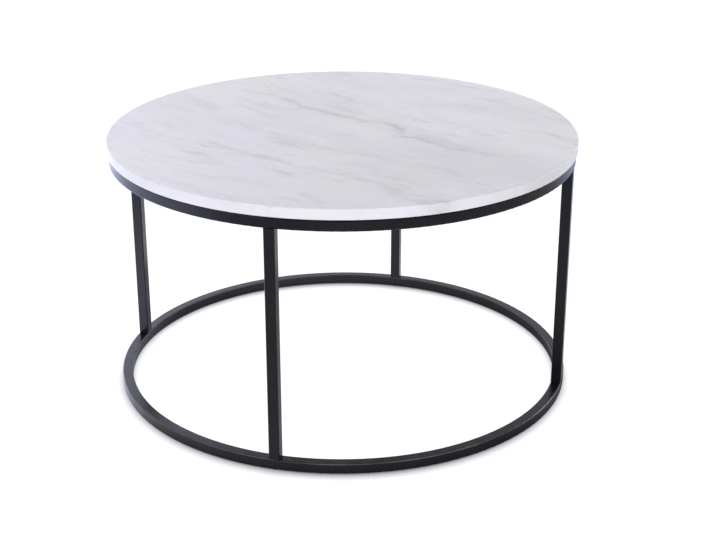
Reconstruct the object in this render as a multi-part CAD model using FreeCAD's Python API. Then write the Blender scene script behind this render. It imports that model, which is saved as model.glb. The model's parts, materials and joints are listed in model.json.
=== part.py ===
# Round cocktail table: a loose stone disc on a bolted frame of square steel tube.
# Millimetres, +Z up. The origin is on the floor, on the table's vertical axis.
# One leg stands on each of -Y (front), +X (right), +Y (back) and -X (left).
import FreeCAD, Part
import math
import os

from FreeCAD import Placement, Rotation, Vector

# Overall size
overall_height = 500.0
slab_diameter = 900.0

# Stone slab
slab_thickness = 20.0
slab_top_round = 2.0
slab_bottom_chamfer = 1.0
slab_overhang = 3.0  # from the rings' outside to the slab's edge

# Square steel tube of the rings, the legs and the cross
tube_side = 20.0
tube_wall = 1.5
tube_corner = 2.0
weld_gap = 0.3  # between the end of a cross tube and what it is welded to

# Socket head screws that hold the legs between the rings
screw_diameter = 6.0
screw_grip = 16.0  # length of screw inside its plug
screw_end_chamfer = 0.8
screw_head_diameter = 10.0
screw_head_height = 6.0
screw_head_chamfer = 0.6
socket_across_flats = 5.0
socket_depth = 3.0
screw_hole_clearance = 0.3  # radial, screw to the ring's wall
thread_clearance = 0.05  # radial, screw to the plug's bore
washer_diameter = 12.0
washer_thickness = 1.6
washer_clearance = 0.2  # radial, screw to washer
access_clearance = 1.0  # radial, washer to the access hole it passes through

# Threaded plugs in the ends of the legs
plug_length = 20.0
plug_clearance = 0.1  # each side, plug to the tube's inside
plug_corner_chamfer = 1.0

# Push-in glides that close the lower ring's access holes
glide_head_diameter = 16.0
glide_head_height = 1.0
glide_head_round = 0.4
glide_stem_clearance = 0.15  # radial, stem to hole
glide_barb = 0.5  # how far the barb stands past the hole
glide_barb_gap = 0.2  # from the tube's wall to the barb
glide_barb_height = 1.6
glide_tip_height = 1.5
glide_tip_taper = 1.2
glide_bore_wall = 2.0

# Silicone bumpers under the slab
bumper_diameter = 12.0
bumper_height = 1.5
bumper_flat_diameter = 8.0
ring_bumpers_between_legs = 2
cross_bumper_radius = 215.0  # from the table's axis, one on each arm of the cross

# Levels, from the floor up
lower_ring_bottom = glide_head_height
lower_ring_top = lower_ring_bottom + tube_side
slab_top = overall_height
slab_bottom = slab_top - slab_thickness
upper_ring_top = slab_bottom - bumper_height
upper_ring_bottom = upper_ring_top - tube_side
leg_length = upper_ring_bottom - lower_ring_top

# Radii that several pieces share
slab_radius = slab_diameter / 2
ring_outer_radius = slab_radius - slab_overhang
ring_radius = ring_outer_radius - tube_side / 2  # through the tube's middle
ring_inner_radius = ring_outer_radius - tube_side
tube_inside = tube_side - 2 * tube_wall
tube_inner_corner = max(tube_corner - tube_wall, 0.0)
screw_radius = screw_diameter / 2
screw_hole_radius = screw_radius + screw_hole_clearance
access_radius = max(washer_diameter, screw_head_diameter) / 2 + access_clearance

LEG_SITES = {"front": -90.0, "right": 0.0, "back": 90.0, "left": 180.0}
UP = Vector(0, 0, 1)
ORIGIN = Vector(0, 0, 0)


def turned(shape, degrees):
    """A copy of the shape turned about the table's vertical axis."""
    copy = shape.copy()
    copy.rotate(ORIGIN, UP, degrees)
    return copy


def moved(shape, x=0.0, y=0.0, z=0.0):
    """A copy of the shape moved by the given steps."""
    copy = shape.copy()
    copy.translate(Vector(x, y, z))
    return copy


def upside_down(shape):
    """A copy of the shape turned over about the X axis."""
    copy = shape.copy()
    copy.rotate(ORIGIN, Vector(1, 0, 0), 180)
    return copy


def rod(radius, bottom, top, x=0.0):
    """An upright cylinder between two levels."""
    return Part.makeCylinder(radius, top - bottom, Vector(x, 0, bottom), UP)


def turned_solid(outline):
    """A solid turned about Z from a closed list of (radius, level) points.

    A point with a third value, (radius, level), starts an arc through it to the next point.
    """
    points = [Vector(p[0], 0, p[1]) for p in outline]
    edges = []
    for here, there, point in zip(points, points[1:] + points[:1], outline):
        if len(point) == 3:
            middle = Vector(point[2][0], 0, point[2][1])
            edges.append(Part.Arc(here, middle, there).toShape())
        else:
            edges.append(Part.makeLine(here, there))
    face = Part.Face(Part.Wire(edges))
    return face.revolve(ORIGIN, UP, 360)


def arc_point(centre_radius, centre_level, arc_radius, degrees):
    """The (radius, level) point of an arc at an angle about its own centre."""
    angle = math.radians(degrees)
    return (centre_radius + arc_radius * math.cos(angle), centre_level + arc_radius * math.sin(angle))


def rounded_square(side, corner):
    """A closed outline in the XY plane, centred on the origin, with rounded corners."""
    half = side / 2
    if corner <= 0:
        return Part.makePlane(side, side, Vector(-half, -half, 0)).OuterWire
    inner = half - corner
    edges = []
    for quarter in range(4):
        spin = Rotation(UP, 90 * quarter)
        start = spin.multVec(Vector(half, -inner, 0))
        end = spin.multVec(Vector(half, inner, 0))
        corner_end = spin.multVec(Vector(inner, half, 0))
        reach = inner + corner * math.cos(math.radians(45))
        corner_middle = spin.multVec(Vector(reach, reach, 0))
        edges.append(Part.makeLine(start, end))
        edges.append(Part.Arc(end, corner_middle, corner_end).toShape())
    return Part.Wire(edges)


def tube_section():
    """The tube's wall as a flat face in the XY plane, centred on the origin."""
    outside = Part.Face(rounded_square(tube_side, tube_corner))
    inside = Part.Face(rounded_square(tube_inside, tube_inner_corner))
    return outside.cut(inside).Faces[0]


def straight_tube(length):
    """An upright tube that stands on the XY plane."""
    return tube_section().extrude(Vector(0, 0, length))


def lying_tube(start, end):
    """A tube along X, with its middle at level zero."""
    section = tube_section()
    section.Placement = Placement(Vector(start, 0, 0), Rotation(Vector(0, 1, 0), 90))
    return section.extrude(Vector(end - start, 0, 0))


def rolled_ring(bottom):
    """The tube rolled into a full circle that stands on the given level."""
    section = tube_section()
    centre = Vector(ring_radius, 0, bottom + tube_side / 2)
    section.Placement = Placement(centre, Rotation(Vector(1, 0, 0), 90))
    return section.revolve(ORIGIN, UP, 360)


def drilled_ring(bottom, access_side):
    """A rolled ring with a screw hole at each leg.

    The wall opposite each screw hole has a wider access hole: in the top for access_side 1,
    in the bottom for -1.
    """
    middle = bottom + tube_side / 2
    far = tube_side * access_side
    levels = sorted((middle, middle + far))
    access = rod(access_radius, levels[0], levels[1], ring_radius)
    levels = sorted((middle, middle - far))
    screw_hole = rod(screw_hole_radius, levels[0], levels[1], ring_radius)
    drills = [turned(drill, azimuth) for azimuth in LEG_SITES.values() for drill in (access, screw_hole)]
    return rolled_ring(bottom).cut(drills)


def stone_slab():
    """The round slab: a small round on the upper arris and a chamfer on the lower one."""
    r = slab_radius
    top = slab_top
    low = slab_bottom
    middle = arc_point(r - slab_top_round, top - slab_top_round, slab_top_round, 45)
    return turned_solid(
        [
            (0, low),
            (r - slab_bottom_chamfer, low),
            (r, low + slab_bottom_chamfer),
            (r, top - slab_top_round, middle),
            (r - slab_top_round, top),
            (0, top),
        ]
    )


def threaded_plug():
    """A square steel plug, flush with level zero and reaching down from it, bored for the screw."""
    side = tube_inside - 2 * plug_clearance
    block = Part.makeBox(side, side, plug_length, Vector(-side / 2, -side / 2, -plug_length))
    upright = [e for e in block.Edges if abs(e.tangentAt(e.FirstParameter).z) > 0.5]
    block = block.makeChamfer(plug_corner_chamfer, upright)
    return block.cut(rod(screw_radius + thread_clearance, -plug_length, 0))


def washer():
    """A flat washer that lies on level zero."""
    return rod(washer_diameter / 2, 0, washer_thickness).cut(
        rod(screw_radius + washer_clearance, 0, washer_thickness)
    )


def socket_screw():
    """A socket head screw, its head's bearing face at level zero and its shank pointing down."""
    head = screw_head_diameter / 2
    under_head = washer_thickness + tube_wall + screw_grip
    body = turned_solid(
        [
            (0, -under_head),
            (screw_radius - screw_end_chamfer, -under_head),
            (screw_radius, -under_head + screw_end_chamfer),
            (screw_radius, 0),
            (head, 0),
            (head, screw_head_height - screw_head_chamfer),
            (head - screw_head_chamfer, screw_head_height),
            (0, screw_head_height),
        ]
    )
    corner = socket_across_flats / math.sqrt(3)
    hexagon = [
        Vector(corner * math.cos(math.radians(60 * k)), corner * math.sin(math.radians(60 * k)), 0)
        for k in range(6)
    ]
    socket = Part.Face(Part.makePolygon(hexagon + hexagon[:1])).extrude(Vector(0, 0, socket_depth))
    return body.cut(moved(socket, z=screw_head_height - socket_depth))


def glide():
    """A push-in plastic foot: flat head on the floor, barbed hollow stem in the ring's access hole."""
    head = glide_head_diameter / 2
    stem = access_radius - glide_stem_clearance
    barb = access_radius + glide_barb
    bore = stem - glide_bore_wall
    top = glide_head_height
    barb_low = top + tube_wall + glide_barb_gap
    barb_top = barb_low + glide_barb_height
    tip = barb_top + glide_tip_height
    middle = arc_point(head - glide_head_round, glide_head_round, glide_head_round, -45)
    return turned_solid(
        [
            (0, 0),
            (head - glide_head_round, 0, middle),
            (head, glide_head_round),
            (head, top),
            (stem, top),
            (stem, barb_low),
            (barb, barb_low),
            (stem, barb_top),
            (stem - glide_tip_taper, tip),
            (bore, tip),
            (bore, top),
            (0, top),
        ]
    )


def bumper():
    """A silicone dot, flattened on top by the slab it carries; it stands on level zero."""
    foot = bumper_diameter / 2
    flat = bumper_flat_diameter / 2
    step = foot - flat
    crown = (step**2 + bumper_height**2) / (2 * bumper_height)  # radius of an arc level with the flat
    foot_angle = math.degrees(math.atan2(crown - bumper_height, step))
    middle = arc_point(flat, bumper_height - crown, crown, (foot_angle + 90) / 2)
    return turned_solid([(0, 0), (foot, 0, middle), (flat, bumper_height), (0, bumper_height)])


def cross_tubes():
    """The cross under the slab: one tube right across the upper ring and two halves against its sides."""
    level = upper_ring_bottom + tube_side / 2
    inside_ring = rod(ring_inner_radius - weld_gap, level - tube_side, level + tube_side)
    long_tube = moved(lying_tube(-slab_radius, slab_radius), z=level).common(inside_ring)
    half_tube = moved(lying_tube(tube_side / 2 + weld_gap, slab_radius), z=level).common(inside_ring)
    return {
        "cross_tube_long": long_tube,
        "cross_tube_half_front": turned(half_tube, LEG_SITES["front"]),
        "cross_tube_half_back": turned(half_tube, LEG_SITES["back"]),
    }


def at_legs(shape):
    """One copy of the shape for each leg, as one group of separate solids."""
    return Part.makeCompound([turned(shape, azimuth) for azimuth in LEG_SITES.values()])


def frame_pieces():
    """Rings, legs, cross and the plugs in the legs' ends."""
    pieces = {
        "top_ring": drilled_ring(upper_ring_bottom, 1),
        "bottom_ring": drilled_ring(lower_ring_bottom, -1),
    }
    leg = moved(straight_tube(leg_length), ring_radius, 0, lower_ring_top)
    upper_plug = moved(threaded_plug(), ring_radius, 0, upper_ring_bottom)
    lower_plug = moved(upside_down(threaded_plug()), ring_radius, 0, lower_ring_top)
    for side, azimuth in LEG_SITES.items():
        pieces["leg_" + side] = turned(leg, azimuth)
        pieces["upper_plug_" + side] = turned(upper_plug, azimuth)
        pieces["lower_plug_" + side] = turned(lower_plug, azimuth)
    pieces.update(cross_tubes())
    return pieces


def fasteners():
    """Screws and washers, one group for each ring."""
    upper_seat = upper_ring_bottom + tube_wall
    lower_seat = lower_ring_top - tube_wall
    return {
        "top_ring_washers": at_legs(moved(washer(), ring_radius, 0, upper_seat)),
        "top_ring_screws": at_legs(moved(socket_screw(), ring_radius, 0, upper_seat + washer_thickness)),
        "bottom_ring_washers": at_legs(moved(upside_down(washer()), ring_radius, 0, lower_seat)),
        "bottom_ring_screws": at_legs(
            moved(upside_down(socket_screw()), ring_radius, 0, lower_seat - washer_thickness)
        ),
    }


def pads():
    """Glides under the lower ring and bumpers on the upper ring and the cross."""
    pieces = {}
    foot = moved(glide(), ring_radius)
    ring_dot = moved(bumper(), ring_radius, 0, upper_ring_top)
    cross_dot = moved(bumper(), cross_bumper_radius, 0, upper_ring_top)
    spacing = 90.0 / ring_bumpers_between_legs
    for quarter, (side, azimuth) in enumerate(LEG_SITES.items()):
        pieces["glide_" + side] = turned(foot, azimuth)
        pieces["cross_bumper_" + side] = turned(cross_dot, azimuth)
        for place in range(ring_bumpers_between_legs):
            number = quarter * ring_bumpers_between_legs + place + 1
            pieces[f"ring_bumper_{number}"] = turned(ring_dot, azimuth + spacing * (place + 0.5))
    return pieces


def main():
    os.makedirs("parts", exist_ok=True)
    pieces = {"marble_top": stone_slab()}
    pieces.update(frame_pieces())
    pieces.update(fasteners())
    pieces.update(pads())
    for name, shape in pieces.items():
        if not shape.isValid():
            raise ValueError(name + " is not a valid shape")
        shape.exportStep(os.path.join("parts", name + ".step"))
        print(name, len(shape.Solids), "solids", round(shape.Volume / 1000, 2), "cm3")


main()
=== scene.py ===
"""Round cocktail table: a veined marble disc on a black square-tube frame, on a white studio floor."""
import functools
import json
import math
from typing import NamedTuple

import bmesh
import bpy
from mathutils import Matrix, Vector


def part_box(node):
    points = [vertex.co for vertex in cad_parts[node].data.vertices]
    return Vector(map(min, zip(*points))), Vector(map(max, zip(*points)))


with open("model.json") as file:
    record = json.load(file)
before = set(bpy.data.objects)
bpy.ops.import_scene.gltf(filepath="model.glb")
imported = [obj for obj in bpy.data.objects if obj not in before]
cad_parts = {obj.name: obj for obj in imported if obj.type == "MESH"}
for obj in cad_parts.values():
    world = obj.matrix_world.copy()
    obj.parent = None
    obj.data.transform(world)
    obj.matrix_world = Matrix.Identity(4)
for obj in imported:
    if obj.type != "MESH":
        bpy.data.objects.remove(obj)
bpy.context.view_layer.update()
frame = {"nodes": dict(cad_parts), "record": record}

MILLIMETRE = 0.001

# The camera of the photograph, as near as a camera without shift comes to it.
CAMERA_PLACE = (0.7456, -2.5747, 1.3036)
CAMERA_PITCH = math.radians(22.22)
CAMERA_HEADING = math.radians(15.52)
CAMERA_LENS = 72.77
SENSOR_WIDTH = 36.0

# The round light behind and above the camera, in metres and watts.
SOFTBOX_PLACE = (0.9, -3.95, 1.8)
SOFTBOX_AIM = (0.0, 0.0, 0.4)
SOFTBOX_DIAMETER = 2.6
SOFTBOX_POWER = 105.0

# The sky's colour at the horizon and overhead, and its tones between, by height from 0 to 1.
HORIZON_COLOUR = (0.92, 0.93, 1.0)
ZENITH_COLOUR = (0.56, 0.555, 0.565)
SKY_TONES = ((0.25, 0.78), (0.38, 0.40), (0.5, 0.20), (0.7, 0.28))
# The sky's pale patch: the way to its middle, what it adds, and the cosines from its middle between which
# it comes up.
SKY_PATCH = (-0.62, 0.62, 0.48)
SKY_PATCH_COLOUR = (0.50, 0.55, 0.74)
SKY_PATCH_BEGINS = 0.90
SKY_PATCH_FULL = 0.97
# The way to the side where the sky is weaker, and its strength there and on the other side.
SKY_WEAK_SIDE = (-1.0, -0.1, 0.0)
SKY_WEAK = 1.45
SKY_STRONG = 2.2

# The floor's half width, how far its soft and its tight shadow reach, and where the soft one leans.
FLOOR_REACH = 30.0
SHADOW_REACH = 0.035
TOUCH_REACH = 0.012
SHADOW_LEAN = (-0.19, 0.68, 0.70)
SHADOW_SAMPLES = 8
# Ways on the floor from the table's middle.
BACK_LEFT = (-0.7, 0.71, 0.0)
FRONT_RIGHT = (0.5, -0.87, 0.0)
# The mirrored floor's light from the front right, 0, to the back left, 1.
BACK_LIGHT = ((0.07, 0.0), (0.34, 0.7), (0.73, 0.7), (1.0, 1.0))
# The bright line that lies along the lower ring's outside: its light, and its share of that by distance
# from the table's middle.
RING_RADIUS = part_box("bottom_ring")[1].x
RIM_LIGHT = 1.7
RIM_LINE = (
    (RING_RADIUS - 0.017, 0.0),
    (RING_RADIUS, 1.0),
    (RING_RADIUS + 0.023, 1.0),
    (RING_RADIUS + 0.083, 0.0),
)

# The stone's veins run along this direction of the top face.
GRAIN_ANGLE = math.radians(-25.0)
# Half width and strength of each vein, and its points in millimetres along and across the grain.
VEINS = (
    (10, 0.28, ((-355, 85), (-315, 85), (-280, 95), (-235, 90))),
    (15, 0.52, ((-245, 90), (-200, 85), (-170, 65), (-140, 65), (-110, 70), (-80, 70), (-45, 70))),
    (13, 0.56, ((-55, 70), (-40, 75), (-10, 70), (10, 85), (35, 90), (70, 80), (100, 70))),
    (12, 0.34, ((45, 55), (60, 60), (80, 65), (100, 60))),
    (15, 0.60, ((90, 70), (110, 35))),
    (14, 0.50, ((100, 35), (120, 45), (140, 50), (165, 50), (195, 50))),
    (9, 0.42, ((185, 50), (225, 35), (255, 45), (285, 55), (305, 50), (315, 55))),
    (8, 0.14, ((315, 55), (345, 75), (370, 90))),
    (10, 0.18, ((-215, -90), (-120, -110), (-85, -100), (-30, -125))),
    (11, 0.25, ((-35, -135), (-15, -115), (35, -110), (95, -105), (145, -90), (210, -95))),
    (10, 0.22, ((240, -65), (305, -70), (345, -80))),
    (10, 0.12, ((-55, -370), (15, -365), (65, -340), (130, -330))),
    (8, 0.24, ((190, -325), (230, -340), (260, -350))),
    (10, 0.22, ((170, -205), (195, -180), (220, -165), (250, -165), (280, -160))),
    (8, 0.24, ((250, -205), (285, -205), (320, -220))),
    (9, 0.14, ((280, -160), (330, -155), (360, -145))),
    (12, 0.12, ((-30, 175), (10, 220), (100, 170), (155, 175), (210, 165), (270, 130))),
    (10, 0.10, ((-275, -270), (-200, -275), (-85, -265), (-20, -230))),
    (7, 0.28, ((60, 290), (80, 300))),
    (7, 0.24, ((100, 380), (120, 390))),
    (6, 0.26, ((-210, -115), (-185, -120))),
    (5, 0.34, ((95, -270), (110, -260))),
    (6, 0.24, ((375, -225), (405, -195))),
    (7, 0.18, ((400, -120), (425, -90))),
)
# A vein's core, its softer band and its faint haze: share of its half width and of its strength.
VEIN_PROFILE = ((0.5, 1.1), (1.6, 0.8), (4.5, 0.25))
VEIN_COLOUR = (0.24, 0.24, 0.265)
# How far before and past its end a vein fades, in millimetres.
VEIN_FADE = 12.0
slab_low, slab_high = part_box("marble_top")
# Half the side of the square that the veins are drawn in, a little past the slab's edge.
VEIN_REACH = 1.02 * (slab_high.x - slab_low.x) / 2


class Marks(NamedTuple):
    """A layer of grey marks in the stone: a stretched noise, shown where it is above a level."""
    stretch: tuple
    turn: float
    scale: float
    detail: float
    begins: float
    full: float
    strength: float
    colour: tuple


STREAKS = Marks(stretch=(6.0, 21.0, 9.0), turn=math.radians(-8.0), scale=1.4, detail=4.0,
                begins=0.48, full=0.76, strength=0.62, colour=(0.498, 0.488, 0.507))
STROKES = Marks(stretch=(12.0, 46.0, 15.0), turn=math.radians(-6.0), scale=1.3, detail=3.0,
                begins=0.59, full=0.79, strength=0.42, colour=(0.402, 0.394, 0.41))
FLECKS = Marks(stretch=(34.0, 86.0, 40.0), turn=math.radians(-6.0), scale=1.4, detail=2.0,
               begins=0.52, full=0.74, strength=0.2, colour=(0.42, 0.412, 0.43))


class Nodes:
    """A node tree, with short ways to add nodes and to set or link their inputs."""

    def __init__(self, tree):
        self.tree = tree

    def put(self, socket, value):
        """Links an output to a socket, or sets a plain value on it."""
        if isinstance(value, bpy.types.NodeSocket):
            self.tree.links.new(value, socket)
        else:
            socket.default_value = value

    def node(self, kind, output, inputs, **settings):
        """Adds a node and gives back one of its outputs."""
        made = self.tree.nodes.new("ShaderNode" + kind)
        for name, value in settings.items():
            setattr(made, name, value)
        for key, value in inputs.items():
            self.put(made.inputs[key], value)
        return made.outputs[output]

    def place(self):
        """The point of the piece, in the part's frame."""
        return self.node("TexCoord", "Object", {})

    def axis(self, vector, name):
        """One coordinate of a vector."""
        return self.node("SeparateXYZ", name, {0: vector})

    def rise(self):
        """How far the surface faces up: 1 on a level top, 0 on a wall, -1 on an underside."""
        return self.axis(self.node("NewGeometry", "Normal", {}), "Z")

    def along(self, vector, way):
        """How far a point lies along a way."""
        return self.node("VectorMath", "Value", {0: vector, 1: way}, operation="DOT_PRODUCT")

    def math(self, operation, first, second):
        return self.node("Math", 0, {0: first, 1: second}, operation=operation)

    def product(self, first, second):
        return self.math("MULTIPLY", first, second)

    def highest(self, values):
        """The largest of several values."""
        return functools.reduce(functools.partial(self.math, "MAXIMUM"), values)

    def amount(self, value):
        """A value without its sign."""
        return self.node("Math", 0, {0: value}, operation="ABSOLUTE")

    def noise(self, vector, scale, detail):
        """Cloudy noise with about scale lumps to a metre, and detail finer layers."""
        return self.node("TexNoise", 0, {"Vector": vector, "Scale": scale, "Detail": detail})

    def remap(self, value, low, high, to_low=0.0, to_high=1.0, smooth=True):
        """Turns values from low to high into to_low to to_high, which hold beyond the two ends."""
        kind = "SMOOTHSTEP" if smooth else "LINEAR"
        inputs = {"Value": value, "From Min": low, "From Max": high, "To Min": to_low, "To Max": to_high}
        return self.node("MapRange", 0, inputs, interpolation_type=kind)

    def stretch(self, vector, scale, turn=0.0):
        """The point turned about the upright axis and scaled along each axis."""
        inputs = {"Vector": vector, "Rotation": (0.0, 0.0, turn), "Scale": scale}
        return self.node("Mapping", 0, inputs)

    def sway(self, vector, scale, far):
        """The point pushed aside by noise, by about a quarter of far."""
        noise = self.node("TexNoise", 1, {"Vector": vector, "Scale": scale, "Detail": 4.0})
        drift = self.node("VectorMath", 0, {0: noise, 1: (0.5, 0.5, 0.5)}, operation="SUBTRACT")
        inputs = {0: drift, 1: (far, far, far), 2: vector}
        return self.node("VectorMath", 0, inputs, operation="MULTIPLY_ADD")

    def mix(self, factor, first, second):
        """A number between two others."""
        return self.node("Mix", 0, {0: factor, 2: first, 3: second}, data_type="FLOAT")

    def blend(self, factor, first, second, kind="MIX"):
        """A colour made of two others."""
        inputs = {0: factor, 6: first, 7: second}
        return self.node("Mix", 2, inputs, data_type="RGBA", blend_type=kind)

    def bump(self, height, distance, strength):
        return self.node("Bump", 0, {"Height": height, "Distance": distance, "Strength": strength})

    def curve(self, value, points):
        """A broken line through points, both coordinates from 0 to 1."""
        made = self.tree.nodes.new("ShaderNodeFloatCurve")
        line = made.mapping.curves[0]
        for place, (x, y) in zip(line.points, (points[0], points[-1])):
            place.location = (x, y)
        for x, y in points[1:-1]:
            line.points.new(x, y)
        for place in line.points:
            place.handle_type = "VECTOR"
        made.mapping.extend = "HORIZONTAL"
        made.mapping.update()
        self.put(made.inputs["Value"], value)
        return made.outputs[0]


class Shader(Nodes):
    """A material's node tree around its one surface shader."""

    def __init__(self, name):
        self.material = bpy.data.materials.new(name)
        self.material.use_nodes = True
        super().__init__(self.material.node_tree)

    def finish(self, **inputs):
        """Sets the surface's own inputs, named with _ for a space, and gives back the material."""
        surface = self.tree.nodes["Principled BSDF"]
        for name, value in inputs.items():
            self.put(surface.inputs[name.replace("_", " ")], value)
        return self.material


def rgb(red, green, blue):
    """A colour in linear light, with nothing see-through."""
    return (red, green, blue, 1.0)


def share(length):
    """A length in millimetres as a share of the square that the veins are drawn in."""
    return length * MILLIMETRE / (2 * VEIN_REACH)


def vein(shader, along, across, half_width, strength, points):
    """How strongly one vein shows beside its line, fading at both ends."""
    line = [(0.5 + share(x), 0.5 + share(y)) for x, y in points]
    aside = shader.amount(shader.math("SUBTRACT", across, shader.curve(along, line)))
    layers = []
    for wide, deep in VEIN_PROFILE:
        layers.append(shader.remap(aside, 0.0, share(wide * half_width), deep * strength, 0.0))
    shown = shader.highest(layers)
    fade = share(VEIN_FADE)
    for end, low, high in ((line[0][0], 0.0, 1.0), (line[-1][0], 1.0, 0.0)):
        shown = shader.product(shown, shader.remap(along, end - fade, end + fade, low, high))
    return shown


def stone_veins(shader, grain, swayed):
    """How strongly the veins show: a jagged main one and faint ones, each broken up by noise."""
    wavy = shader.sway(grain, scale=46.0, far=0.022)
    jagged = shader.sway(wavy, scale=95.0, far=0.02)
    along = shader.remap(shader.axis(jagged, "X"), -VEIN_REACH, VEIN_REACH, smooth=False)
    across = shader.remap(shader.axis(jagged, "Y"), -VEIN_REACH, VEIN_REACH, smooth=False)
    shown = shader.highest([vein(shader, along, across, *row) for row in VEINS])
    breaks = shader.noise(shader.stretch(swayed, (12.0, 30.0, 20.0)), scale=2.0, detail=3.0)
    return shader.product(shown, shader.remap(breaks, 0.3, 0.6, 0.45, 1.0))


def stone_ground(shader, swayed, rise):
    """The stone's colour between its veins: pale, with soft clouds and patches of fine grey marks.

    The marks are faint on the slab's wall.
    """
    tint = shader.noise(shader.stretch(swayed, (2.5, 4.0, 2.0)), scale=1.8, detail=2.0)
    warm, cool = rgb(0.656, 0.644, 0.642), rgb(0.656, 0.64, 0.685)
    colour = shader.blend(shader.remap(tint, 0.36, 0.66), warm, cool)
    clouds = shader.noise(shader.stretch(swayed, (1.5, 3.5, 3.0)), scale=1.7, detail=3.0)
    colour = shader.blend(shader.remap(clouds, 0.38, 0.70, 0.0, 0.64), colour, rgb(0.537, 0.525, 0.545))

    patches = shader.noise(shader.stretch(swayed, (3.0, 6.0, 5.0)), scale=1.7, detail=2.0)
    off_wall = shader.remap(shader.amount(rise), 0.3, 0.8, 0.35, 1.0)
    marked = shader.product(shader.remap(patches, 0.40, 0.62, 0.4, 1.45), off_wall)
    for marks in (STREAKS, STROKES, FLECKS):
        drawn = shader.stretch(swayed, marks.stretch, marks.turn)
        pattern = shader.noise(drawn, marks.scale, marks.detail)
        shown = shader.remap(pattern, marks.begins, marks.full, 0.0, marks.strength)
        colour = shader.blend(shader.product(shown, marked), colour, rgb(*marks.colour))
    return colour


def sawn_stone(shader, grain):
    """The colour of the underside, left as sawn: grey with fine saw marks."""
    saw_marks = shader.noise(shader.stretch(grain, (3.0, 260.0, 1.0)), scale=1.0, detail=2.0)
    dark, light = rgb(0.36, 0.35, 0.35), rgb(0.44, 0.43, 0.43)
    return shader.blend(shader.remap(saw_marks, 0.35, 0.65), dark, light)


def marble():
    """Honed white marble with grey veins, and a dull sawn underside."""
    shader = Shader("veined_marble")
    place = shader.place()
    rise = shader.rise()
    grain = shader.stretch(place, (1.0, 1.0, 1.0), -GRAIN_ANGLE)
    swayed = shader.sway(grain, scale=8.0, far=0.045)
    crystals = shader.noise(place, scale=420.0, detail=2.0)
    below = shader.remap(rise, -0.9, -0.6, 1.0, 0.0)

    colour = stone_ground(shader, swayed, rise)
    colour = shader.blend(shader.remap(crystals, 0.5, 0.8, 0.0, 0.06), colour, rgb(0.786, 0.769, 0.782))
    colour = shader.blend(stone_veins(shader, grain, swayed), colour, rgb(*VEIN_COLOUR))
    colour = shader.blend(below, colour, sawn_stone(shader, grain))
    polish = shader.remap(shader.noise(place, scale=60.0, detail=4.0), 0.3, 0.7, 0.16, 0.26)
    rough = shader.highest([polish, shader.product(below, 0.7)])
    relief = shader.bump(crystals, distance=0.0003, strength=0.02)
    return shader.finish(Base_Color=colour, Roughness=rough, Normal=relief, IOR=1.49)


def painted_highlight_mask(shader, place):
    """1 on the lower ring's upper roundings and 0 on flats and higher up: where a highlight line is
    painted, partly also rub wear from shoes.
    """
    rise = shader.rise()
    off_wall = shader.remap(rise, 0.2, 0.5)
    off_level = shader.remap(rise, 0.85, 0.98, 1.0, 0.0)
    ring_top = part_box("bottom_ring")[1].z
    low_down = shader.remap(shader.axis(place, "Z"), ring_top, 2 * ring_top, 1.0, 0.0)
    return shader.product(shader.product(off_wall, off_level), low_down)


def powder_coat():
    """Satin black powder coat: fine orange peel, soft tone changes, and a painted highlight on the lower
    ring's upper edges that is partly rub wear.
    """
    shader = Shader("satin_black_coat")
    place = shader.place()
    peel = shader.noise(place, scale=900.0, detail=2.0)
    broad = shader.noise(place, scale=11.0, detail=4.0)
    dark, light = rgb(0.0032, 0.0032, 0.0042), rgb(0.005, 0.005, 0.0066)
    colour = shader.blend(shader.remap(broad, 0.3, 0.7), dark, light)
    # Painted highlight: the lower ring's upper roundings are lightened in patches, a highlight line
    # partly standing for rub wear.
    edge_glint = shader.product(painted_highlight_mask(shader, place), shader.remap(broad, 0.35, 0.6, 0.3, 1.0))
    colour = shader.blend(edge_glint, colour, rgb(0.075, 0.075, 0.08))
    rough = shader.remap(shader.noise(place, scale=45.0, detail=5.0), 0.3, 0.7, 0.20, 0.30)
    relief = shader.bump(peel, distance=0.0003, strength=0.05)
    return shader.finish(Base_Color=colour, Roughness=rough, Normal=relief,
                         Specular_IOR_Level=0.4, Specular_Tint=rgb(0.93, 0.90, 1.0))


def zinc():
    """Bright zinc plating on the screws, washers and plugs, a little cloudy."""
    shader = Shader("bright_zinc")
    place = shader.place()
    cloudy = shader.noise(place, scale=260.0, detail=4.0)
    dark, light = rgb(0.56, 0.57, 0.58), rgb(0.68, 0.68, 0.66)
    colour = shader.blend(shader.remap(cloudy, 0.3, 0.7), dark, light)
    rough = shader.remap(cloudy, 0.3, 0.7, 0.24, 0.42)
    grit = shader.noise(place, scale=1500.0, detail=2.0)
    relief = shader.bump(grit, distance=0.0001, strength=0.1)
    return shader.finish(Base_Color=colour, Metallic=1.0, Roughness=rough, Normal=relief)


def silicone():
    """Milky clear silicone of the bumpers."""
    shader = Shader("milky_silicone")
    haze = shader.noise(shader.place(), scale=300.0, detail=3.0)
    dark, light = rgb(0.62, 0.65, 0.66), rgb(0.74, 0.76, 0.77)
    colour = shader.blend(shader.remap(haze, 0.3, 0.7), dark, light)
    rough = shader.remap(haze, 0.3, 0.7, 0.28, 0.4)
    return shader.finish(Base_Color=colour, Roughness=rough, IOR=1.41)


def nylon():
    """Black moulded nylon of the glides, dull and slightly scuffed."""
    shader = Shader("black_nylon")
    scuffs = shader.noise(shader.place(), scale=500.0, detail=5.0)
    black, scuffed = rgb(0.014, 0.014, 0.015), rgb(0.04, 0.04, 0.04)
    colour = shader.blend(shader.remap(scuffs, 0.45, 0.75), black, scuffed)
    rough = shader.remap(scuffs, 0.3, 0.7, 0.45, 0.62)
    relief = shader.bump(scuffs, distance=0.0002, strength=0.1)
    return shader.finish(Base_Color=colour, Roughness=rough, Normal=relief)


def dress(materials):
    """Gives each node the material of its record slot."""
    for row in frame["record"]["subparts"]:
        node = frame["nodes"][row["node"]]
        for slot in node.material_slots:
            slot.material = materials[row["material_slot"]]


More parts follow.
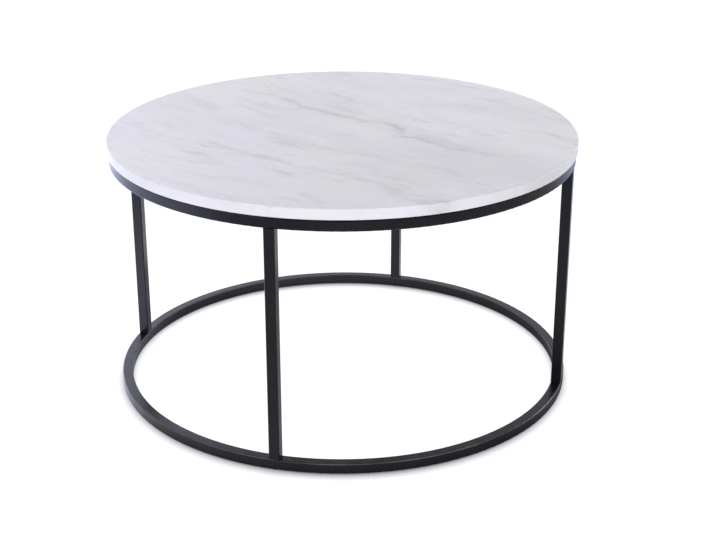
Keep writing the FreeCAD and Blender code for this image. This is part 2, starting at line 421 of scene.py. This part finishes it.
def contact_shadow(shader):
    """The floor's own glow: full in the open, dark where something stands close above or beside it."""
    lean = shader.node("CombineXYZ", 0, dict(zip("XYZ", SHADOW_LEAN)))
    leaning = {"Distance": SHADOW_REACH, "Normal": lean}
    near = shader.node("AmbientOcclusion", "AO", leaning, samples=SHADOW_SAMPLES)
    touch = shader.node("AmbientOcclusion", "AO", {"Distance": TOUCH_REACH}, samples=SHADOW_SAMPLES)
    soft = shader.remap(near, 0.15, 0.8, 0.15, 1.1, smooth=False)
    tight = shader.remap(touch, 0.35, 0.95, 0.82, 1.0, smooth=False)
    return shader.product(soft, tight)


def mirrored_light(shader, behind, right, out):
    """The floor's light as the glossy tube mirrors it: bright at the back left, dim under the table."""
    depth = shader.curve(shader.remap(behind, -0.6, 1.6, smooth=False), BACK_LIGHT)
    right_side = shader.remap(out, 0.9, 1.5, 0.2, 0.5)
    lit = shader.product(depth, shader.remap(right, -0.6, 0.2, 1.0, right_side))
    under_table = shader.remap(shader.amount(right), 0.1, 0.42, 0.9, 0.27)
    past_ring = shader.remap(out, 0.39, 0.57, under_table, 1.12)
    far_off = shader.remap(out, 1.1, 1.6, 1.0, 0.8)
    level = shader.remap(lit, 0.0, 1.0, 0.4, 2.05, smooth=False)
    return shader.product(level, shader.product(past_ring, far_off))


def white_sweep():
    """White light from below: plain to the camera, even for soft light, patterned in the tube's gloss."""
    shader = Shader("white_sweep")
    place = shader.place()
    # Metres from the table's middle: to the back left, the front right, the right, and outwards.
    behind = shader.along(place, BACK_LEFT)
    front = shader.along(place, FRONT_RIGHT)
    right = shader.axis(place, "X")
    out = shader.node("VectorMath", "Value", {0: place}, operation="LENGTH")
    glossy = shader.node("LightPath", "Is Glossy Ray", {})
    seen = shader.node("LightPath", "Is Camera Ray", {})

    glow = contact_shadow(shader)
    even = shader.remap(front, 0.35, 0.95, 1.05, 0.4)
    level = shader.mix(glossy, even, mirrored_light(shader, behind, right, out))
    left = shader.remap(right, -0.45, -0.2, 1.0, 0.0)
    rim = shader.product(left, shader.curve(out, RIM_LINE))
    bounce = shader.product(level, shader.mix(rim, glow, RIM_LIGHT))

    far_back = shader.product(shader.remap(behind, -0.5, 0.0), shader.remap(out, 0.8, 1.3))
    cool = shader.highest([far_back, shader.product(left, 0.5)])
    white, blue = rgb(0.96, 0.965, 1.0), rgb(0.68, 0.75, 1.0)
    colour = shader.blend(shader.product(cool, glossy), white, blue)
    return shader.finish(Base_Color=rgb(0.05, 0.05, 0.05), Roughness=1.0, Specular_IOR_Level=0.0,
                         Emission_Color=colour, Emission_Strength=shader.mix(seen, bounce, glow))


def studio_floor():
    """The wide lit floor that the table stands on."""
    mesh = bmesh.new()
    bmesh.ops.create_grid(mesh, x_segments=4, y_segments=4, size=FLOOR_REACH)
    data = bpy.data.meshes.new("studio_floor")
    mesh.to_mesh(data)
    mesh.free()
    data.materials.append(white_sweep())
    floor = bpy.data.objects.new("studio_floor", data)
    bpy.context.scene.collection.objects.link(floor)


def sky_colour(sky, height):
    """The sky's colour by height: white at the horizon, dim half way up, paler again overhead."""
    made = sky.tree.nodes.new("ShaderNodeValToRGB")
    stops = made.color_ramp.elements
    stops[0].color = rgb(*HORIZON_COLOUR)
    stops[1].color = rgb(*ZENITH_COLOUR)
    for place, tone in SKY_TONES:
        stops.new(place).color = rgb(0.95 * tone, 0.95 * tone, tone)
    sky.put(made.inputs[0], height)
    return made.outputs[0]


def studio_sky():
    """A slightly cool sky with a pale patch at the back left, weaker on the left side."""
    world = bpy.data.worlds.new("studio_sky")
    world.use_nodes = True
    bpy.context.scene.world = world
    sky = Nodes(world.node_tree)
    toward = sky.node("TexCoord", "Generated", {})
    patch = sky.remap(sky.along(toward, SKY_PATCH), SKY_PATCH_BEGINS, SKY_PATCH_FULL)
    plain = sky_colour(sky, sky.axis(toward, "Z"))
    colour = sky.blend(patch, plain, rgb(*SKY_PATCH_COLOUR), kind="ADD")
    side = sky.along(toward, SKY_WEAK_SIDE)
    strength = sky.remap(side, -1.0, 1.0, SKY_STRONG, SKY_WEAK, smooth=False)
    background = sky.tree.nodes["Background"]
    sky.put(background.inputs["Color"], colour)
    sky.put(background.inputs["Strength"], strength)


def softbox():
    """A large round light behind and above the camera, which nothing mirrors."""
    data = bpy.data.lights.new("softbox", "AREA")
    data.shape = "DISK"
    data.size = SOFTBOX_DIAMETER
    data.energy = SOFTBOX_POWER
    lamp = bpy.data.objects.new("softbox", data)
    lamp.location = SOFTBOX_PLACE
    aim = Vector(SOFTBOX_AIM) - lamp.location
    lamp.rotation_euler = aim.to_track_quat("-Z", "Y").to_euler()
    lamp.visible_glossy = False
    bpy.context.scene.collection.objects.link(lamp)


def camera():
    """The photograph's viewing angle."""
    data = bpy.data.cameras.new("photo_camera")
    data.sensor_width = SENSOR_WIDTH
    data.lens = CAMERA_LENS
    eye = bpy.data.objects.new("photo_camera", data)
    eye.location = CAMERA_PLACE
    eye.rotation_euler = (math.pi / 2 - CAMERA_PITCH, 0.0, CAMERA_HEADING)
    bpy.context.scene.collection.objects.link(eye)
    bpy.context.scene.camera = eye


dress({
    "marble": marble(),
    "frame_coat": powder_coat(),
    "fastener_steel": zinc(),
    "silicone": silicone(),
    "glide_plastic": nylon(),
})
studio_floor()
studio_sky()
softbox()
camera()
bpy.context.scene.view_settings.view_transform = "Standard"
